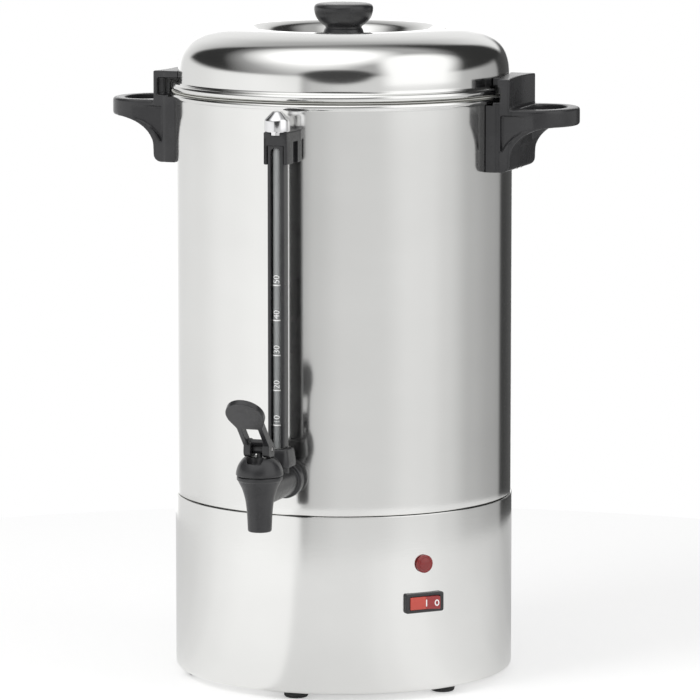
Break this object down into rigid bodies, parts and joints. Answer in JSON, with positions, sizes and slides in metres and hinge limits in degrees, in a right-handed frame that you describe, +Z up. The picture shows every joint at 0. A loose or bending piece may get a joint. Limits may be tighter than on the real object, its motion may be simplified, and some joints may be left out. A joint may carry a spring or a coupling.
{
  "type": "coffee urn",
  "caption": "Round electric coffee urn with a lever tap under a sight gauge, moulded handles that hook over a domed locking lid, a rocker switch, and a percolator basket inside.",
  "frame": {"origin": "centre of the bounding box on the surface that the urn stands on; the vessel's own axis is 50.2 mm behind it", "axes": "+Z up, -Y towards the tap (front), +X towards the handle on the right of someone who faces the tap"},
  "size_m": [0.352, 0.3506, 0.4888],
  "materials": {
    "polished_steel": "mirror-polished stainless steel with a faint grain",
    "plain_steel": "plain mill-finish stainless steel",
    "aluminium": "plain aluminium",
    "brass": "plain brass",
    "chrome": "bright plating",
    "black_plastic": "satin moulded phenolic",
    "rubber": "matt rubber",
    "silicone": "translucent silicone",
    "ceramic": "unglazed ceramic",
    "red_plastic": "glossy tinted plastic",
    "glass": "clear glass"
  },
  "bodies": {
    "vessel": {"base_shell": "polished_steel", "base_plate": "plain_steel", "foot_1": "rubber", "foot_2": "rubber", "foot_3": "rubber", "foot_4": "rubber", "foot_5": "rubber", "foot_6": "rubber", "heat_plate": "aluminium", "main_heater": "plain_steel", "pump_heater": "aluminium", "thermostat": "ceramic", "thermal_cut_out": "ceramic", "terminal_block": "ceramic", "inlet_socket": "black_plastic", "inlet_blade_live": "brass", "inlet_blade_neutral": "brass", "inlet_blade_earth": "brass", "switch_frame": "black_plastic", "lamp_lens": "red_plastic", "lamp_holder": "black_plastic", "tank": "polished_steel", "handle_right": "black_plastic", "handle_bracket_right": "plain_steel", "handle_screw_right_1": "plain_steel", "handle_screw_right_2": "plain_steel", "handle_left": "black_plastic", "handle_bracket_left": "plain_steel", "handle_screw_left_1": "plain_steel", "handle_screw_left_2": "plain_steel", "tap_body": "black_plastic", "tap_bonnet": "black_plastic", "tap_spring": "plain_steel", "tap_gasket_outer": "rubber", "tap_gasket_inner": "silicone", "tap_nut": "plain_steel", "gauge_socket": "black_plastic", "gauge_seal": "silicone", "gauge_tube": "glass", "gauge_guard": "black_plastic", "gauge_cap": "chrome", "gauge_clip": "black_plastic"},
    "filter": {"pump_foot": "plain_steel", "riser_tube": "plain_steel", "basket": "aluminium", "spreader": "aluminium"},
    "lid_ring": {"lid_seal": "silicone"},
    "lid": {"lid": "polished_steel", "knob": "black_plastic", "knob_screw": "plain_steel"},
    "lever": {"tap_lever": "black_plastic"},
    "stem": {"tap_stem": "black_plastic", "seat_cup": "silicone", "lever_pin": "plain_steel"},
    "rocker": {"rocker": "red_plastic"}
  },
  "joints": [
    {"name": "filter_lift", "type": "slide", "parent": "vessel", "child": "filter", "axis": [0, 0, 1], "range_m": [0, 0.31]},
    {"name": "lid_lift", "type": "slide", "parent": "filter", "child": "lid_ring", "axis": [0, 0, 1], "range_m": [0, 0.08]},
    {"name": "lid_turn", "type": "hinge", "parent": "lid_ring", "child": "lid", "pos_m": [0, 0.0502, 0.43], "axis": [0, 0, 1], "range_deg": [0, 28]},
    {"name": "stem_lift", "type": "slide", "parent": "vessel", "child": "stem", "axis": [0, 0, 1], "range_m": [0, 0.00182], "deforming": ["tap_spring"]},
    {"name": "lever_pull", "type": "hinge", "parent": "stem", "child": "lever", "pos_m": [0, -0.1338, 0.1905], "axis": [1, 0, 0], "range_deg": [0, 40], "stiffness_Nm_per_rad": 0.5, "springref_deg": -17.19},
    {"name": "rocker_tip", "type": "hinge", "parent": "vessel", "child": "rocker", "pos_m": [0.08747, -0.03427, 0.0697], "axis": [0, 0, 1], "range_deg": [0, 16]}
  ],
  "couplings": [
    {"joint": "stem_lift", "follows": "lever_pull", "m_per_rad": 0.0026}
  ]
}
